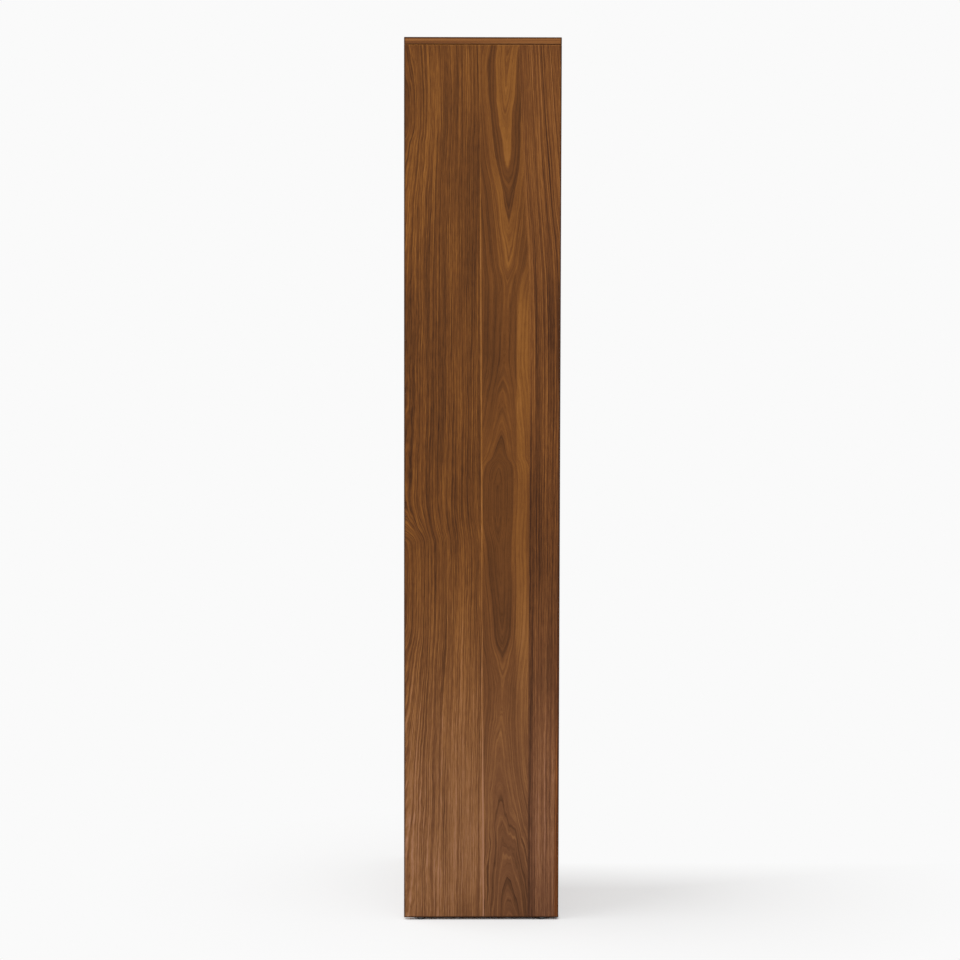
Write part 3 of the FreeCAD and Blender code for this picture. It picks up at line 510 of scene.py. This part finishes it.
boards = {
    "top_panel": ("X", "Y", {
        "seed": 1.37, "boardWidth": 0.125, "spacing": 0.008, "swell": 1.1, "shade": -0.02,
        "banded": True}),
    "bottom_shelf": ("X", "Y", {
        "seed": 2.71, "boardWidth": 0.122, "spacing": 0.008, "swell": 1.0, "shade": 0.0}),
    "middle_shelf": ("X", "Y", {
        "seed": 3.19, "boardWidth": 0.118, "spacing": 0.007, "swell": 1.2, "shade": 0.02}),
    "kick_board_front": ("X", "Z", {
        "seed": 4.43, "boardWidth": 0.21, "spacing": 0.008, "swell": 0.9, "shade": 0.04}),
    "kick_board_rear": ("X", "Z", {
        "seed": 5.07, "boardWidth": 0.21, "spacing": 0.008, "swell": 0.9, "shade": 0.04}),
    "hanging_rail": ("X", "Z", {
        "seed": 6.61, "boardWidth": 0.23, "spacing": 0.008, "swell": 0.9, "shade": 0.03}),
    "back_panel": ("Z", "X", {
        "seed": 8.29, "boardWidth": 0.148, "spacing": 0.009, "swell": 0.75, "shade": 0.02,
        "wobble": 0.2}),
}
for number in range(1, 5):
    boards["adjustable_shelf_%d" % number] = ("X", "Y", {
        "seed": 9.13 + 1.71 * number, "boardWidth": 0.104 + 0.006 * number, "spacing": 0.0075,
        "swell": 1.1, "shade": 0.0})
for node, (grainAxis, acrossAxis, settings) in boards.items():
    makeBoard(node, grainAxis, acrossAxis, settings)
print("boards dressed:", len(boards))


# metal and plastic

def makeGrainGroup():
    group, given, result = newGroup(
        "handledSurface",
        [("Place", "Vector", None), ("Grain", "Float", 900.0), ("Marks", "Float", 70.0)],
        [("Grain", "Float"), ("Marks", "Float"), ("Dirt", "Float")])
    grain = noise(group, given["Place"], given["Grain"], 3.0, 0.6)
    marks = noise(group, stretch(group, given["Place"], (1, 3, 1)), given["Marks"], 3.0, 0.7)
    dirt = noise(group, given["Place"], 120.0, 2.0)
    feed(group, result["Grain"], grain)
    feed(group, result["Marks"], fit(group, marks, 0.35, 0.7, soft=True))
    feed(group, result["Dirt"], fit(group, dirt, 0.4, 0.75, soft=True))
    return group


grainGroup = makeGrainGroup()
fittings = {
    "nickel": {
        "color": "b9b4aa", "deep": "8d877c", "metal": 1.0, "rough": 0.24, "grain": 900.0,
        "press": 0.00002},
    "zincSteel": {
        "color": "b4b8bb", "deep": "85888a", "metal": 1.0, "rough": 0.34, "grain": 1400.0,
        "press": 0.00003},
    "zincCasting": {
        "color": "a3a5a6", "deep": "727475", "metal": 1.0, "rough": 0.48, "grain": 2200.0,
        "press": 0.00006},
    "coverPlastic": {
        "color": "5d3a22", "deep": "4c2e1a", "metal": 0.0, "rough": 0.42, "grain": 2600.0,
        "press": 0.00004},
    "nylon": {
        "color": "2b2b2c", "deep": "1e1e1f", "metal": 0.0, "rough": 0.5, "grain": 2600.0,
        "press": 0.00005},
}


def makeFitting(name, s):
    material, tree = newMaterial(name)
    surface = useGroup(tree, grainGroup, {"Place": objectPlace(tree), "Grain": s["grain"]})
    dirt = calc(tree, "MULTIPLY", surface["Dirt"], 0.7)
    color = mixColor(tree, dirt, paint(s["color"]), paint(s["deep"]))
    shader = tree.nodes["Principled BSDF"]
    feed(tree, shader.inputs["Base Color"], color)
    shader.inputs["Metallic"].default_value = s["metal"]
    rough = calc(tree, "MULTIPLY_ADD", surface["Marks"], 0.16, s["rough"] - 0.06)
    feed(tree, shader.inputs["Roughness"], rough)
    pressIn(tree, shader, surface["Grain"], s["press"], 0.5)
    return material


def makeBeech():
    # the dowels lie along X, and so does their grain
    material, tree = newMaterial("beech")
    place = objectPlace(tree)
    fibre = useGroup(tree, fibreGroup, {"Place": place, "Seed": 0.4})
    flecks = noise(tree, stretch(tree, place, (260, 900, 900)), 1.0, 1.0)
    tone = calc(tree, "MULTIPLY_ADD", fibre["Middle"], 0.5, fit(tree, flecks, 0.55, 0.65, 0.0, 0.4))
    shader = tree.nodes["Principled BSDF"]
    color = ramp(tree, tone, [(0.0, "d3a874"), (0.5, "c2935d"), (1.0, "99683a")])
    feed(tree, shader.inputs["Base Color"], color)
    feed(tree, shader.inputs["Roughness"], calc(tree, "MULTIPLY_ADD", fibre["Fine"], 0.15, 0.55))
    pressIn(tree, shader, fibre["Fine"], 0.0001, 0.5)
    return material


finishes = {name: makeFitting(name, s) for name, s in fittings.items()}
finishes["beech"] = makeBeech()
slotFinish = {
    "nickel": "nickel", "nylon": "nylon", "zinc_steel": "zincSteel", "zinc_casting": "zincCasting",
    "cover_plastic": "coverPlastic", "beech": "beech",
}
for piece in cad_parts.values():
    for place, material in enumerate(piece.data.materials):
        kind = material.name.split(".")[0]
        if kind in slotFinish:
            piece.data.materials[place] = finishes[slotFinish[kind]]
print("fittings dressed:", len(finishes))


# floor, light and camera

studio = {
    "floorSize": 60.0,
    "paper": 0.956,            # how bright the plain background is
    "fadeFrom": 0.25,          # metres from the case where the floor starts to turn into backdrop
    "fadeTo": 1.15,
    "fadeCentre": (0.0, 0.19, 0.0),
    "leastFade": 0.55,
    "floorColor": (0.9, 0.9, 0.9, 1.0),
    "dome": 0.62,
    "keyStrength": 1.75,
    "keyAngle": 75.0,
    "keyFrom": (-0.04, -1.0, 0.95),
    "fillStrength": 0.78,
    "fillAngle": 60.0,
    "fillFrom": (1.0, 0.06, 0.36),
}


def paperLight(tree):
    path = addNode(tree, "ShaderNodeLightPath").outputs
    seen = calc(tree, "MAXIMUM", path["Is Camera Ray"], path["Is Glossy Ray"])
    return calc(tree, "MAXIMUM", seen, path["Is Transmission Ray"])


def makeFloor():
    bpy.ops.mesh.primitive_plane_add(size=studio["floorSize"], location=(0, 0, 0))
    floor = bpy.context.object
    floor.name = "floor"
    material, tree = newMaterial("paleFloor")
    floor.data.materials.append(material)
    shader = tree.nodes["Principled BSDF"]
    shader.inputs["Base Color"].default_value = studio["floorColor"]
    shader.inputs["Roughness"].default_value = 0.9
    shader.inputs["Specular IOR Level"].default_value = 0.0
    place = objectPlace(tree)
    centre = calcVector(tree, "SUBTRACT", place, studio["fadeCentre"])
    away = addNode(tree, "ShaderNodeVectorMath", {0: centre}, operation="LENGTH").outputs["Value"]
    far = fit(tree, away, studio["fadeFrom"], studio["fadeTo"], studio["leastFade"], 1.0)
    x, y, _ = split(tree, place)
    # behind the case the floor's shadow is painted lighter towards its far side
    shadowLift = calc(tree, "MULTIPLY", fit(tree, x, 0.03, -0.3), fit(tree, y, 0.12, 0.2))
    far = calc(tree, "MAXIMUM", far, fit(tree, shadowLift, 0.0, 1.0, studio["leastFade"], 1.0))
    # the floor under the case stays a true shadow
    overX = calc(tree, "SUBTRACT", calc(tree, "ABSOLUTE", x), outerFace)
    overY = calc(tree, "SUBTRACT", calc(tree, "ABSOLUTE", y), cadHigh[1])
    outside = fit(tree, calc(tree, "MAXIMUM", overX, overY), -0.004, 0.006, 0.0, 1.0, soft=True)
    far = calc(tree, "MULTIPLY", far, outside)
    glow = addNode(tree, "ShaderNodeEmission", {"Strength": studio["paper"]})
    mix = addNode(tree, "ShaderNodeMixShader", {
        0: calc(tree, "MULTIPLY", far, paperLight(tree)), 1: shader.outputs[0], 2: glow.outputs[0]})
    feed(tree, tree.nodes["Material Output"].inputs["Surface"], mix.outputs[0])


def makeWorld():
    world = bpy.data.worlds.new("studioDome")
    world.use_nodes = True
    bpy.context.scene.world = world
    tree = world.node_tree
    strength = mixValue(tree, paperLight(tree), studio["dome"], studio["paper"])
    feed(tree, tree.nodes["Background"].inputs["Color"], (1, 1, 1, 1))
    feed(tree, tree.nodes["Background"].inputs["Strength"], strength)


def addSun(name, fromWhere, strength, angle):
    light = bpy.data.lights.new(name, "SUN")
    light.energy = strength
    light.angle = math.radians(angle)
    lamp = bpy.data.objects.new(name, light)
    lamp.rotation_euler = Vector(fromWhere).to_track_quat("Z", "Y").to_euler()
    bpy.context.scene.collection.objects.link(lamp)


view = {
    "away": 7.8,               # metres from the side of the case
    "side": -0.1163,
    "height": 1.7518,
    "lens": 121.89,
    "sensor": 36.0,
    "yaw": 0.817,
    "pitch": 4.955,
    "roll": 0.114,
}


def addCamera():
    camera = bpy.data.objects.new("camera", bpy.data.cameras.new("camera"))
    camera.data.lens = view["lens"]
    camera.data.sensor_width = view["sensor"]
    camera.data.clip_end = 200.0
    yaw, pitch, roll = (math.radians(view[name]) for name in ("yaw", "pitch", "roll"))
    level = Vector((-math.cos(yaw), math.sin(yaw), 0.0))
    forward = level * math.cos(pitch) - Vector((0.0, 0.0, math.sin(pitch)))
    right = forward.cross(Vector((0, 0, 1))).normalized()
    up = right.cross(forward)
    axisX = right * math.cos(roll) + up * math.sin(roll)
    axisY = up * math.cos(roll) - right * math.sin(roll)
    turn = Matrix((axisX, axisY, -forward)).transposed().to_4x4()
    where = Vector((outerFace + view["away"], view["side"], view["height"]))
    camera.matrix_world = Matrix.Translation(where) @ turn
    bpy.context.scene.collection.objects.link(camera)
    bpy.context.scene.camera = camera


makeFloor()
makeWorld()
addSun("keyLight", studio["keyFrom"], studio["keyStrength"], studio["keyAngle"])
addSun("fillLight", studio["fillFrom"], studio["fillStrength"], studio["fillAngle"])
addCamera()
bpy.context.scene.view_settings.view_transform = "Standard"
print("floor, light and camera set")
